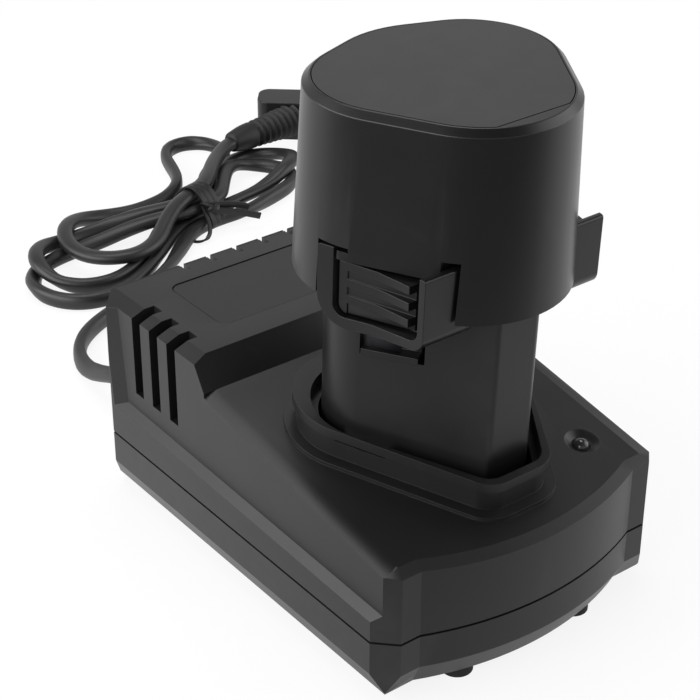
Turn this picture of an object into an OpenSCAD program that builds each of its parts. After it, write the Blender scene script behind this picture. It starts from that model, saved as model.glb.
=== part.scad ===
// Charger for a three-cell power tool battery, with the battery seated in it.
// The charger stands on z = 0, its front faces -Y, and the battery lifts out along its own lean.

/* [Housing] */
// Width of the lower housing
body_w = 72; // [64:0.5:90]
// Length of the housing, from the bowed front to the rear
body_l = 105; // [96:0.5:130]
// How far the front bows forward
bow = 5.5; // [3:0.5:8]
// Width of the bowed part of the front
bow_w = 54.4; // [46:0.2:58]
// Size of the cut across each upright corner
corner_cut = 4.2; // [2:0.1:6]
// Wall of both shells
wall = 2.4; // [1.8:0.1:3]
// Height of the shell's underside above the floor
foot_h = 2.5; // [1.5:0.1:5]
// Height of the lower shell
base_h = 12.3; // [11:0.1:16]
// Inset of the bevel under the lower shell
base_bevel = 2.3; // [1:0.1:3]
// Height of the bevel under the lower shell
base_bevel_h = 5; // [3:0.5:7]
// How far the upper side walls stand back
side_step = 1.68; // [0.8:0.02:2.2]
// Height of the step in the side walls, at the front corner
step_z = 21.5; // [19:0.1:24]
// Rise of the step toward the rear, in degrees
step_rise = 1.7; // [0:0.1:3]
// Depth of the rear corner posts that stay proud
post_l = 8; // [5:0.5:12]
// Width and depth of the groove along the joint of the shells
split_groove = 0.5; // [0.3:0.1:0.8]

/* [Deck] */
// Height of the deck at the straight part of its front edge
deck_z = 31.05; // [28:0.05:36]
// Tilt of the deck, in degrees
deck_tilt = 9.5; // [6:0.5:12]
// Width of the bevel along the deck's sides
edge_run = 3.15; // [2:0.05:5]
// Height of the bevel along the deck's sides
edge_drop = 1; // [0.5:0.1:2]
// Width of the bevel along the deck's front
front_run = 2.4; // [1:0.1:4]
// Height of the bevel along the deck's front
front_drop = 0.8; // [0.4:0.1:1.5]

/* [Rear block] */
// Distance from the foot of the block's front face to the rear of the housing
block_l = 38.8; // [34:0.1:44]
// Height of the block's top above the floor
block_top = 47.8; // [44:0.1:54]
// How far the block's front face leans back at its top
block_lean = 3.9; // [2:0.1:6]
// Width of the bevel along the block's sides
block_run = 3.25; // [2:0.05:5]
// Height of the bevel along the block's sides
block_drop = 1.2; // [0.6:0.1:2.5]
// Cut along the rear edge of the block's top
block_cut = 0.8; // [0.4:0.1:2]
// Number of slots in each side of the block
side_vents = 3; // [1:1:4]
// Number of slots in the rear of the block
rear_vents = 5; // [1:2:7]
// Width of a slot in the side
vent_w = 3.1; // [1.5:0.1:3.5]
// Width of a slot in the rear
rear_vent_w = 1.2; // [1:0.1:3]
// Spacing of the slots
vent_pitch = 6.65; // [5:0.05:8]
// Height of the lower end of the slots
vent_z = 28.2; // [26:0.1:32]
// Reach of the slots over the top of the block
vent_wrap = 5.7; // [3:0.1:8]
// Reach of the rear slots over the top of the block
rear_wrap = 3; // [2.6:0.1:5]
// Width of the plate on the block
plate_w = 44; // [30:0.5:50]
// Length of the plate on the block
plate_l = 20.8; // [14:0.1:24]
// Thickness of the plate on the block
plate_t = 0.5; // [0.3:0.1:0.8]

/* [Socket] */
// Height of the collar above the deck
collar_h = 7.4; // [5:0.1:12]
// Height of the lip at the top of the collar
lip_h = 2; // [1:0.1:3]
// How far the lip and the foot stand out from the collar's neck
lip_out = 0.8; // [0.4:0.1:1.2]
// Wall of the collar at its front, from the socket to the lip
collar_wall = 3.4; // [2.8:0.1:4.5]
// Clearance around the battery's nose
nose_gap = 1.25; // [0.6:0.05:2]
// How far the socket's mouth is wider than the socket
mouth_gap = 1.6; // [0.8:0.1:1.8]
// Depth of the socket's mouth
mouth_depth = 3; // [1:0.1:4]
// Clearance around the battery's sides and back
side_gap = 0.6; // [0.4:0.05:1.5]
// Wall of the socket below the deck
sleeve_wall = 2; // [1.2:0.1:3]
// Clearance between the seated battery and the socket's floor
seat_gap = 0.2; // [0.1:0.05:0.5]
// Number of contact blades
blades = 5; // [3:2:5]
// Spacing of the contact blades
blade_pitch = 6; // [5:0.5:7]
// Width of a contact blade
blade_l = 6; // [4:0.5:7]
// Thickness of a contact blade
blade_t = 0.8; // [0.6:0.1:1.2]

/* [Battery] */
// Forward lean of the battery, in degrees
lean = 2; // [0:0.5:4]
// Diameter of a cell
cell_d = 18.2; // [17.8:0.1:18.2]
// Length of a cell
cell_l = 65; // [64:0.2:66]
// Wall of the stem
stem_wall = 1.5; // [1.2:0.05:1.5]
// Length of the stem below the head
stem_l = 50.2; // [46:0.1:54]
// Room inside the head above the cells, to its top
head_room = 12.4; // [12:0.1:18]
// Wall of the head at its top
head_wall = 2; // [1.4:0.1:2.2]
// Draft of the head's sides, in degrees
head_draft = 2.15; // [0.5:0.05:2.5]
// Bevel around the head's top edge
head_bevel = 1.3; // [0.5:0.1:2]
// Margin between the head's top edge and the top plate
top_margin = 1.8; // [1.5:0.1:2.4]
// Thickness of the top plate
top_plate_t = 2; // [1.5:0.1:2.5]

/* [Latches] */
// Travel of a latch when it is pressed
latch_travel = 1.2; // [1:0.05:1.3]
// How far the ribs lie behind the latch's frame
rib_inset = 0.9; // [0.5:0.1:1.4]
// How far the pad lies behind the latch's frame, at its rear
pad_inset = 1.25; // [1:0.05:1.8]
// Depth of the slot around the pad
slot_depth = 3.2; // [2.4:0.1:3.6]
// Number of ribs on the latch's pad
ribs = 3; // [2:1:4]
// Height of a rib
rib_h = 1.7; // [1.2:0.1:2]
// Spacing of the ribs
rib_pitch = 3.4; // [3:0.1:4]
// Gap between the latch and the head around it
latch_gap = 0.6; // [0.4:0.05:0.9]
// How far the hook stands out of the stem
hook_out = 1; // [0.6:0.05:1.1]

/* [Details] */
// Radius of a foot
foot_r = 3.3; // [2.5:0.1:5]
// Depth of a foot's seat in the shell
foot_seat = 0.8; // [0.4:0.1:1.2]
// Radius of a case screw's shank
screw_r = 1.5; // [1.2:0.05:1.8]
// Radius of a case screw's head
screw_head_r = 2.9; // [2.4:0.1:3.2]
// Clearance around the screws
screw_gap = 0.1; // [0.05:0.05:0.2]
// Radius of the status lamp's lens
lens_r = 1.9; // [1.5:0.1:2.5]
// Radius of the dish around the lens
dish_r = 3.7; // [3:0.1:4.5]
// Thickness of the circuit boards
board_t = 1.6; // [1:0.1:2]
// Radius of the cord
cord_r = 2; // [1.8:0.1:2.4]
// Length of the strain relief outside the housing
relief_l = 19.5; // [15:0.5:24]
// Diameter of a plug pin
pin_d = 4; // [3.5:0.1:4.8]
// Length of a plug pin
pin_l = 19; // [17:0.5:20]
// Spacing of the plug pins
pin_pitch = 18.6; // [17:0.2:19.2]

/* [Hidden] */
$fn = 72;
far = 200;
front_y = bow - body_l / 2;
rear_y = body_l / 2;
bow_r = (pow(bow_w / 2, 2) + bow * bow) / (2 * bow);
bow_y = front_y - bow + bow_r;
split_z = foot_h + base_h;
floor_t = 2.5;
floor_z = foot_h + floor_t;
block_y = rear_y - block_l;
side_x = body_w / 2 - side_step;
first_vent_y = rear_y - 13.6;

// The battery's own frame stands here, at the middle of the socket.
seat_y = front_y + 28;
seat_z = 35;

// Circles [x, y, r] whose taut outline is each shape, counter-clockwise from the front.
stem_nose = 1.7;
stem_lobe = 10;
stem_nose_at = [4.15, -18.7];
stem_lobe_at = [11.6, 7.2];
head_top = [[0, -3.6, 19.8], [8.75, 6.5, 17.45], [0, 4, 22.6], [-8.75, 6.5, 17.45]];
cells_at = [[0, -8.85], [9.8, 6.6], [-9.8, 6.6]];
rim_nose_at = [4, -18.5];
rim_nose = stem_nose + nose_gap + collar_wall + 0.15;
rim_lobe_at = [12.9, 10.2];
rim_lobe = 13;

// Heights along the battery's lean, from the battery's frame.
stem_bottom = -10;
cell_w = 0.5;
head_bottom = stem_bottom + stem_l;
head_top_w = cell_w + cell_l + head_room;
floor_w = stem_bottom - seat_gap;
head_floor = 2;
flange_w = head_bottom + head_floor;
plate_w0 = head_top_w - top_plate_t;

// The latch and the slot in its frame, seen from the side as [y, height, r], and its outer line in plan.
latch_side = [[-15.3, 39.1, 3], [-1.4, 40.5, 6], [4, 50.2, 0.6], [-17.7, 50.6, 0.6]];
slot_side = [[-15, 39.9, 1.9], [-0.9, 39.2, 2.3], [0.4, 60, 1], [-15.9, 60, 1]];
slot_gap = 0.45;
slot_front = -16.9;
slot_rear = 1.4;
latch_rear = [27.9, 4.8];
latch_bend = [23.6, -6.5];
latch_front = [21.45, -18.3];
latch_foot = 34.5;
pad_front = -13.9;
pad_edge = -0.7;
pad_top = 48.1;
bay_bottom = 30;
bay_top = 51.2;
notch_top = 52.6;
tongue_step = 50.4;
flank_n = edge_n([stem_nose_at.x, stem_nose_at.y, stem_nose], [stem_lobe_at.x, stem_lobe_at.y, stem_lobe]);
flank_a = atan2(flank_n.y, flank_n.x);
flank_d = flank_n * stem_nose_at + stem_nose;
latch_in = flank_d + latch_travel * cos(flank_a) + 1.4;
leg_y = 2.6;
leg_w = 4;
leg_top = 40.4;
hook_w = 26.2;
hook_h = 1.4;
hook_rear = 11.8;

screw_x = body_w / 2 - 8;
screws_at = [[-screw_x, front_y + 27], [screw_x, front_y + 27], [screw_x, rear_y - 7.5], [-screw_x, rear_y - 7.5]];
board_front = front_y + 5;
board_rear = rear_y - 8.5;
board_w = body_w - 26;
board_screw_x = board_w / 2 - 4;
board_screws_at = [[-board_screw_x, board_front + 6], [board_screw_x, board_front + 6],
    [board_screw_x, board_rear - 4], [-board_screw_x, board_rear - 4]];
feet_at = [[-15.5, front_y + 2.5], [15.5, front_y + 2.5], [24, rear_y - 16.5], [-24, rear_y - 16.5]];
board_z = floor_z + 4.5;
board_top = board_z + board_t;
core_at = [-6, board_rear - 20, board_top + 1];
core_size = [28, 12, 24];
coil_size = [19.8, 22, 15.6];
capacitors_at = [[15, board_rear - 14, 6.5, 26], [15, board_rear - 30, 5, 20], [12, board_rear - 40.5, 3.8, 10]];
lamp_at = [body_w / 2 - 12.4, 11.2];
battery_screws_at = [[-7, 20.4], [7, 20.4]];
top_front_y = -19.5;
board_posts = [[-13, -11.5], [13, -11.5], [0, 20]];
cord_x = -18;
cord_z = 10.2;
boot_end = rear_y + relief_l;
hank_h = 12;
loops_h = 8.8;
tie_at = [52, 147];
tie_a = 13;
tie_r = 7;
tie_w = 4;
tie_t = 0.8;
plug_at = [97.4, 183.2];
plug_a = -40.5;
plug_size = [41, 11, 12.2];
tail_end = [80, 172, 7.6];
tail_a = 10;
tail_dip = 2;

// The cord's route, chosen by hand: from the strain relief to the hank, and from the hank to the plug.
lead_route = [[cord_x, boot_end, cord_z], [-18, 77, 8.4], [-17.8, 82, 5], [-17, 87, 2.6], [-15, 93, 2.1],
    [-12, 100, 2.1], [-9, 107, 2.1], [-5, 114, 2.1], [0, 119.5, 2.3]];
tail_route = [[62, 156.5, 6.4], [66, 161.5, 6.8], [70, 166, 7], [75, 170, 7.4], tail_end];

// Outward normal of the taut line from circle a to circle b.
function edge_n(a, b) =
    let (d = [b.x - a.x, b.y - a.y], s = (a.z - b.z) / norm(d))
    (s * d + sqrt(1 - s * s) * [d.y, -d.x]) / norm(d);

// Points where the taut lines touch the circles, each circle grown by g.
function taut_points(cs, g) = [for (i = [0 : len(cs) - 1])
    let (n = len(cs), before = edge_n(cs[(i + n - 1) % n], cs[i]), after = edge_n(cs[i], cs[(i + 1) % n]))
    each [[cs[i].x, cs[i].y] + (cs[i].z + g) * before, [cs[i].x, cs[i].y] + (cs[i].z + g) * after]];

function pear(nose_at, nose, lobe_at, lobe) =
    [[-nose_at.x, nose_at.y, nose], [nose_at.x, nose_at.y, nose], [lobe_at.x, lobe_at.y, lobe],
     [-lobe_at.x, lobe_at.y, lobe]];

function stem_outline() = pear(stem_nose_at, stem_nose, stem_lobe_at, stem_lobe);

function socket_outline() = pear(stem_nose_at, stem_nose + nose_gap, stem_lobe_at, stem_lobe + side_gap);

function rim_outline() = pear(rim_nose_at, rim_nose, rim_lobe_at, rim_lobe);

// Taut outline around circles.
module taut(cs, g = 0) {
    for (c = cs) translate([c.x, c.y]) circle(c.z + g);
    polygon(taut_points(cs, g));
}

// Points along the same outline, with the round stretches in steps of about 6 degrees.
function taut_ring(cs, g) = [for (i = [0 : len(cs) - 1])
    let (n = len(cs), before = edge_n(cs[(i + n - 1) % n], cs[i]), after = edge_n(cs[i], cs[(i + 1) % n]),
        a0 = atan2(before.y, before.x), turn = (atan2(after.y, after.x) - a0 + 360) % 360, steps = ceil(turn / 6))
    for (k = [0 : steps])
        let (a = a0 + turn * k / steps) [cs[i].x, cs[i].y] + (cs[i].z + g) * [cos(a), sin(a)]];

// The same outline as a solid through levels [height, growth], so its sides can lean.
module taut_loft(cs, levels) {
    rings = [for (l = levels) [for (p = taut_ring(cs, l[1])) [p.x, p.y, l[0]]]];
    n = len(rings[0]);
    m = len(levels);
    polyhedron([for (r = rings) each r],
        concat([[for (i = [0 : n - 1]) i]], [[for (i = [n - 1 : -1 : 0]) (m - 1) * n + i]],
            [for (j = [0 : m - 2], i = [0 : n - 1])
                [j * n + i, (j + 1) * n + i, (j + 1) * n + (i + 1) % n, j * n + (i + 1) % n]]));
}

module prism(z0, z1) translate([0, 0, z0]) linear_extrude(z1 - z0) children();

// Outlines drawn as (x, z) or as (y, z), carried along the other axis.
module along_y(l) rotate([90, 0, 0]) linear_extrude(l, center = true) children();

module along_x(l) rotate([90, 0, 90]) linear_extrude(l, center = true) children();

module box(from, to) translate(from) cube(to - from);

module both_sides() {
    children();
    mirror([1, 0, 0]) children();
}

module on_battery() translate([0, seat_y, seat_z]) rotate([lean, 0, 0]) children();

module on_deck() translate([0, front_y, deck_z]) rotate([deck_tilt, 0, 0]) children();

module on_flank() rotate([0, 0, flank_a]) children();

module deck_slab(z0, z1) on_deck() box([-far, -far, z0], [far, far, z1]);

module base_outline(g = 0) {
    x = body_w / 2 - g;
    y0 = front_y + g;
    y1 = rear_y - g;
    c = corner_cut - g * (2 - sqrt(2));
    polygon([[c - x, y0], [x - c, y0], [x, y0 + c], [x, y1 - c], [x - c, y1], [c - x, y1], [-x, y1 - c],
        [-x, y0 + c]]);
    intersection() {
        translate([0, bow_y]) circle(bow_r - g);
        translate([-bow_w / 2 - 1.5, front_y - bow - 1]) square([bow_w + 3, bow_r / 2]);
    }
}

// Everything above a bevel under the housing's edge, from foot_h up. The bevel's planes run on outward.
module base_bevels() {
    x = body_w / 2 - base_bevel;
    y0 = front_y + base_bevel;
    y1 = rear_y - base_bevel;
    out = 5 * base_bevel;
    up = foot_h + 5 * base_bevel_h;
    intersection() {
        along_y(far) polygon([[-x, foot_h], [x, foot_h], [x + out, up], [-x - out, up]]);
        union() {
            along_x(far) polygon([[y0, foot_h], [y1, foot_h], [y1 + out, up], [y0 - out, up]]);
            translate([0, bow_y, foot_h])
                cylinder(h = up - foot_h, r1 = bow_r - base_bevel, r2 = bow_r - base_bevel + out);
        }
    }
}

// Everything under the deck's plane and under a bevel along one of its edges.
module eave(a, d, run, drop) rotate([0, 0, a]) along_y(2 * far)
    polygon([[-far, -far], [d + far / 2, -far], [d + far / 2, -drop * (1 + far / 2 / run)], [d - run, 0], [-far, 0]]);

module deck_cap(g) on_deck() translate([0, 0, -g]) intersection() {
    eave(0, side_x - g, edge_run, edge_drop);
    eave(180, side_x - g, edge_run, edge_drop);
    eave(-45, (body_w / 2 - corner_cut) * sqrt(0.5) - g, front_run, front_drop);
    eave(-135, (body_w / 2 - corner_cut) * sqrt(0.5) - g, front_run, front_drop);
    union() {
        eave(-90, -g, front_run, front_drop);
        translate([0, bow_r - bow / cos(deck_tilt), -far / 2])
            cylinder(h = far / 2, r1 = bow_r - g + front_run * (far / 2 / front_drop - 1),
                r2 = bow_r - g - front_run);
    }
}

module block_cap(g) {
    x = body_w / 2 + 5;
    top = block_top - g;
    fall = block_drop / block_run;
    slant = sqrt(1 + fall * fall);
    edge = side_x - block_run - g * (slant - 1) / fall;
    side_top = block_top - (x - side_x + block_run) * fall - g * slant;
    cut = block_cut - g * (2 - sqrt(2));
    y0 = block_y + g;
    y1 = rear_y - g;
    foot = deck_z + (block_y - front_y) * tan(deck_tilt);
    intersection() {
        along_y(far) polygon([[-x, 0], [x, 0], [x, side_top], [edge, top], [-edge, top], [-x, side_top]]);
        along_x(far) polygon([[y0, 0], [y0, foot], [y0 + block_lean, top], [y1 - cut, top],
            [y1 + 5, top - cut - 5], [y1 + 5, 0]]);
    }
}

// Outer form of the upper shell, drawn in by g.
module top_form(g = 0) intersection() {
    prism(g == 0 ? split_z : split_z - 1, far) base_outline(g);
    box([-(g == 0 ? far : side_x - g), -far, 0], [g == 0 ? far : side_x - g, far, far]);
    union() {
        deck_cap(g);
        block_cap(g);
    }
}

// What the stepped side walls lose, with a bevelled step and proud rear posts.
module side_recess() both_sides() intersection() {
    translate([0, front_y, step_z]) rotate([step_rise, 0, 0])
        along_y(2 * far) polygon([[side_x, 0], [side_x + 5, -5], [side_x + 5, far], [side_x, far]]);
    translate([0, rear_y - post_l, deck_z]) rotate([-5.4, 0, 0])
        prism(-far, far) polygon([[side_x, 0], [side_x + 5, 10], [side_x + 5, -far], [side_x, -far]]);
}

module vents() {
    both_sides() for (i = [0 : side_vents - 1])
        translate([side_x - vent_wrap, first_vent_y - i * vent_pitch - vent_w / 2, vent_z]) cube([far, vent_w, far]);
    for (i = [0 : rear_vents - 1])
        translate([(i - (rear_vents - 1) / 2) * vent_pitch * 1.05 - rear_vent_w / 2, rear_y - rear_wrap, vent_z])
            cube([rear_vent_w, far, far]);
}

module collar() {
    intersection() {
        on_battery() prism(-far, far) taut(rim_outline());
        deck_slab(collar_h - lip_h, collar_h);
    }
    intersection() {
        on_battery() prism(-far, far) taut(rim_outline(), -lip_out);
        deck_slab(-wall / 2, collar_h - lip_h / 2);
    }
    intersection() {
        on_battery() prism(-far, far) taut(rim_outline(), 2 * lip_out);
        deck_slab(-wall / 2, lip_out);
    }
}

module sleeve() intersection() {
    on_battery() prism(floor_w - sleeve_wall, far) taut(socket_outline(), sleeve_wall);
    deck_slab(-far, -wall / 2);
}

module contact_window(g) {
    l = (blades - 1) * blade_pitch + 5;
    box([-l / 2 + g, -4 + g, -far], [l / 2 - g, 6 - g, floor_w + 1]);
}

module bottom_shell() color([0.2, 0.2, 0.21]) difference() {
    union() {
        difference() {
            intersection() {
                prism(foot_h, split_z) base_outline();
                base_bevels();
            }
            prism(floor_z, far) base_outline(wall);
        }
        for (p = screws_at) translate([p.x, p.y, floor_z - 1])
            cylinder(h = split_z - floor_z + 1, r = screw_head_r + 0.9);
        for (p = board_screws_at) translate([p.x, p.y, floor_z - 1]) cylinder(h = board_z - floor_z + 1, r = 2.6);
    }
    for (p = screws_at) translate([p.x, p.y, 0]) {
        cylinder(h = far, r = screw_r + screw_gap);
        cylinder(h = floor_z + 1, r = screw_head_r + 3 * screw_gap);
    }
    for (p = board_screws_at) translate([p.x, p.y, floor_z]) cylinder(h = far, r = 1 + screw_gap);
    for (p = feet_at) translate([p.x, p.y, 0]) cylinder(h = foot_h + foot_seat, r = foot_r);
    translate([cord_x, rear_y, cord_z]) rotate([90, 0, 0]) cylinder(h = 4 * wall, r = cord_r + 0.9, center = true);
}

module top_shell() color([0.17, 0.17, 0.18]) difference() {
    union() {
        difference() {
            top_form();
            top_form(wall);
            side_recess();
        }
        collar();
        sleeve();
        intersection() {
            for (p = screws_at) translate([p.x, p.y, split_z]) cylinder(h = far, r = screw_head_r + 0.3);
            top_form(wall / 2);
        }
    }
    prism(split_z - 1, split_z + split_groove) difference() {
        base_outline(-1);
        base_outline(split_groove);
    }
    on_battery() prism(floor_w, far) taut(socket_outline());
    intersection() {
        on_battery() prism(-far, far) taut(socket_outline(), mouth_gap);
        deck_slab(collar_h - mouth_depth, far);
    }
    on_battery() contact_window(0);
    vents();
    translate([0, rear_y - vent_wrap - 1.3 - plate_l / 2, block_top - plate_t]) linear_extrude(far) rounded_plate(0);
    for (p = screws_at) translate([p.x, p.y, 0]) cylinder(h = 24, r = screw_r + screw_gap);
    on_deck() translate(lamp_at) {
        translate([0, 0, -1]) cylinder(h = 1.01, r1 = lens_r + 0.2, r2 = dish_r);
        cylinder(h = 4 * wall, r = lens_r + 0.05, center = true);
    }
}

module rounded_plate(g) {
    r = 2.5;
    corners = [for (c = [[-1, -1], [1, -1], [1, 1], [-1, 1]])
        [c.x * (plate_w / 2 - r), c.y * (plate_l / 2 - r), r - g]];
    taut(corners);
}

module label_plate() color([0.26, 0.26, 0.27])
    translate([0, rear_y - vent_wrap - 1.3 - plate_l / 2, block_top - plate_t])
        linear_extrude(plate_t - 0.15) rounded_plate(0.2);

module rubber_feet() color([0.08, 0.08, 0.08])
    for (p = feet_at) translate([p.x, p.y, 0]) cylinder(h = foot_h + foot_seat, r = foot_r);

module case_screws() color([0.6, 0.6, 0.62]) for (p = screws_at) translate([p.x, p.y, 0]) {
    translate([0, 0, floor_z - 1]) difference() {
        cylinder(h = 2, r = screw_head_r);
        for (a = [0, 90]) rotate([0, 0, a]) translate([-1.7, -0.4, -1]) cube([3.4, 0.8, 2]);
    }
    translate([0, 0, floor_z + 1]) cylinder(h = 22 - floor_z, r = screw_r);
}

module lamp_lens() color([0.75, 0.77, 0.78]) on_deck() translate(lamp_at) intersection() {
    translate([0, 0, -wall - 1.4]) cylinder(h = far, r = lens_r);
    translate([0, 0, -lens_r + 0.3]) union() {
        sphere(lens_r);
        translate([0, 0, -far]) cylinder(h = far, r = lens_r);
    }
}

module status_lamp() color([0.3, 0.6, 0.35]) {
    x = lamp_at.x;
    y = front_y + lamp_at.y * cos(deck_tilt) + 0.6;
    top = deck_z + lamp_at.y * sin(deck_tilt) - wall - 2.2;
    translate([x, y, top - 5]) cylinder(h = 5, r = 1.5);
    translate([x, y, top - 5.6]) cylinder(h = 1, r = 1.9);
    for (s = [-1, 1]) translate([x + s * 0.8 - 0.25, y - 0.25, board_top]) cube([0.5, 0.5, top - 5 - board_top]);
}

module circuit_board() color([0.12, 0.35, 0.2]) difference() {
    union() {
        box([-board_w / 2, board_front, board_z], [board_w / 2, board_rear, board_top]);
        box([0, board_front, board_z], [board_w / 2 + 4, board_front + 12, board_top]);
    }
    for (p = board_screws_at) translate([p.x, p.y, 0]) cylinder(h = far, r = 1 + screw_gap);
}

module board_screws() color([0.7, 0.7, 0.72]) for (p = board_screws_at) translate([p.x, p.y, board_top]) {
    cylinder(h = 1.3, r = 2);
    translate([0, 0, -board_t - 3.5]) cylinder(h = board_t + 3.5, r = 1);
}

module transformer_core() color([0.2, 0.19, 0.19]) translate(core_at) difference() {
    translate([-core_size.x / 2, -core_size.y / 2, 0]) cube(core_size);
    for (s = [-1, 1]) translate([s * 7 - 3, -far / 2, 4]) cube([6, far, core_size.z - 8]);
}

module transformer_coil() color([0.85, 0.75, 0.3]) translate(core_at) {
    difference() {
        translate([-coil_size.x / 2, -coil_size.y / 2, (core_size.z - coil_size.z) / 2]) cube(coil_size);
        translate([-4.1, -core_size.y / 2 - 0.1, 0]) cube([8.2, core_size.y + 0.2, far]);
    }
    for (s = [-1, 1], x = [-6, 6]) translate([x - 0.4, s * 9.5 - 0.4, -1]) cube([0.8, 0.8, 5.2]);
}

module capacitors() color([0.15, 0.15, 0.3])
    for (c = capacitors_at) translate([c.x, c.y, board_top]) cylinder(h = c[3], r = c.z);

module heat_sink() color([0.7, 0.7, 0.72]) translate([-14, core_at.y + coil_size.y / 2 + 0.5, board_top]) {
    cube([15.2, 2, 18]);
    for (i = [0 : 4]) translate([i * 3.5, 0, 0]) cube([1.2, 8, 18]);
}

module fuse() color([0.8, 0.85, 0.85]) translate([-19.5, core_at.y - 31, board_top + 3]) rotate([-90, 0, 0]) {
    cylinder(h = 20, r = 2.3);
    for (y = [0, 15.5]) translate([0, 0, y]) cylinder(h = 4.5, r = 2.6);
    for (y = [2, 17.5]) translate([-0.4, 0, y]) cube([0.8, 3, 0.6]);
}

module contact_block() color([0.3, 0.3, 0.32]) intersection() {
    box([-far, -far, board_top], [far, far, far]);
    on_battery() difference() {
        union() {
            contact_window(0.3);
            box([-16, -7, -far], [16, 9, floor_w - sleeve_wall]);
        }
        box([-far, -far, floor_w], [far, far, far]);
        box([-12, -4, -far], [12, 6, floor_w - sleeve_wall - 3]);
        blade_row(0);
    }
}

module blade_row(g) for (i = [0 : blades - 1])
    translate([(i - (blades - 1) / 2) * blade_pitch - blade_t / 2 - g, 1 - blade_l / 2 - g, floor_w - 6])
        cube([blade_t + 2 * g, blade_l + 2 * g, 12.5]);

module contact_blades() color([0.78, 0.7, 0.4]) on_battery() blade_row(0);

module strain_relief() color([0.1, 0.1, 0.1]) translate([cord_x, rear_y, cord_z]) rotate([-90, 0, 0]) {
    translate([0, 0, -wall - 1.2]) cylinder(h = 1.2, r = 4);
    translate([0, 0, -wall]) cylinder(h = wall, r = cord_r + 0.85);
    cylinder(h = 2, r = 4.2);
    translate([0, 0, 2]) cylinder(h = relief_l - 2, r1 = 3.6, r2 = cord_r + 0.5);
}

// A tube of radius r swept along a route, each ring square to the route.
function route_dir(p, i) = p[min(i + 1, len(p) - 1)] - p[max(i - 1, 0)];

function ring(c, d, r, n) =
    let (side = cross(d, [0, 0, 1]) / norm(cross(d, [0, 0, 1])), up = cross(side, d) / norm(d))
    [for (k = [0 : n - 1]) c + r * (cos(360 * k / n) * side + sin(360 * k / n) * up)];

module tube(p, r, n) {
    m = len(p);
    polyhedron([for (i = [0 : m - 1]) each ring(p[i], route_dir(p, i), r, n)],
        concat([[for (k = [0 : n - 1]) k]], [[for (k = [n - 1 : -1 : 0]) (m - 1) * n + k]],
            [for (i = [0 : m - 2], k = [0 : n - 1])
                [i * n + k, (i + 1) * n + k, (i + 1) * n + (k + 1) % n, i * n + (k + 1) % n]]));
}

module cord_lead() color([0.12, 0.12, 0.12]) tube(lead_route, cord_r, 10);

module cord_tail() color([0.12, 0.12, 0.12]) tube(tail_route, cord_r, 10);

// The hank's turns: two lobes, a low loop under the tail, and a higher bundle where the tie holds them.
module hank_turns() {
    hold = [tie_at.x, tie_at.y, tie_r - tie_t];
    prism(0, loops_h) {
        taut([[8, 130, 13], hold, [20, 152, 10]]);
        taut([hold, [79.5, 153, 13]]);
    }
    prism(0, 2 * cord_r) taut([hold, [66, 168, 13]]);
    prism(0, hank_h) translate([tie_at.x, tie_at.y]) rotate([0, 0, tie_a]) taut([[-11, 0, hold.z], [11, 0, hold.z]]);
}

module around_tie(z0, z1, r) prism(z0, z1) translate([tie_at.x, tie_at.y]) circle(r);

module tie_band() translate([tie_at.x, tie_at.y, 0]) rotate([0, 0, tie_a])
    box([-tie_w / 2, -far / 2, -1], [tie_w / 2, far / 2, hank_h + 1]);

module cord_hank() color([0.12, 0.12, 0.12]) difference() {
    hank_turns();
    intersection() {
        tie_band();
        difference() {
            around_tie(-1, hank_h + 1, 2 * tie_r);
            around_tie(tie_t, hank_h - tie_t, tie_r - tie_t);
        }
    }
}

module cord_tie() color([0.05, 0.05, 0.05]) intersection() {
    tie_band();
    difference() {
        around_tie(0, hank_h, tie_r);
        around_tie(tie_t, hank_h - tie_t, tie_r - tie_t);
    }
}

module plug_block() translate([plug_at.x, plug_at.y, 0]) rotate([0, 0, plug_a]) prism(0, plug_size.z)
    taut([[3.5, 3.5, 3.5], [plug_size.x - 3, 3, 3], [plug_size.x - 3, plug_size.y - 3, 3],
        [3.5, plug_size.y - 3.5, 3.5]]);

module plug_body() color([0.11, 0.11, 0.12]) difference() {
    plug_block();
    plug_pin_row();
}

module plug_relief() color([0.11, 0.11, 0.12]) difference() {
    translate(tail_end) rotate([0, 90 + tail_dip, tail_a]) difference() {
        cylinder(h = 30, r1 = cord_r + 1.1, r2 = 5.4);
        for (i = [0 : 3]) translate([0, 0, 5 + i * 5]) difference() {
            cylinder(h = 1.3, r = 8);
            cylinder(h = 1.3, r = 2.6 + i * 0.35);
        }
    }
    plug_block();
    translate([plug_at.x, plug_at.y, 0]) rotate([0, 0, plug_a]) box([-far, 1, -1], [far, far, far]);
}

module plug_pin_row() translate([plug_at.x, plug_at.y, 0]) rotate([0, 0, plug_a])
    for (i = [0, 1]) translate([plug_size.x - 6.4 - i * pin_pitch, plug_size.y, plug_size.z / 2])
        rotate([-90, 0, 0]) {
        cylinder(h = pin_l, d = pin_d);
        translate([0, 0, -5]) cylinder(h = 5, d = pin_d - 1);
    }

module plug_pins() color([0.8, 0.8, 0.78]) plug_pin_row();

// Where the right-hand latch sits in the head, from the stem's flank outward. The head's tongue fills its slot.
module latch_bay(g) intersection() {
    on_flank() box([flank_d + 0.05, -far, 0], [far, far, far]);
    difference() {
        along_x(2 * far)
            polygon([[latch_front.y - g, bay_bottom], [latch_rear.y + g - 0.15, bay_bottom],
                [latch_rear.y + g - 0.15, bay_top], [pad_front, bay_top + 0.3], [pad_front, notch_top],
                [latch_front.y - g, notch_top]]);
        along_x(3 * far)
            polygon([[slot_front + g, pad_top + g], [slot_rear - g, pad_top + g], [slot_rear - g, tongue_step],
                [pad_edge - g, tongue_step], [pad_edge - g, far], [slot_front + g, far]]);
    }
}

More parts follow.
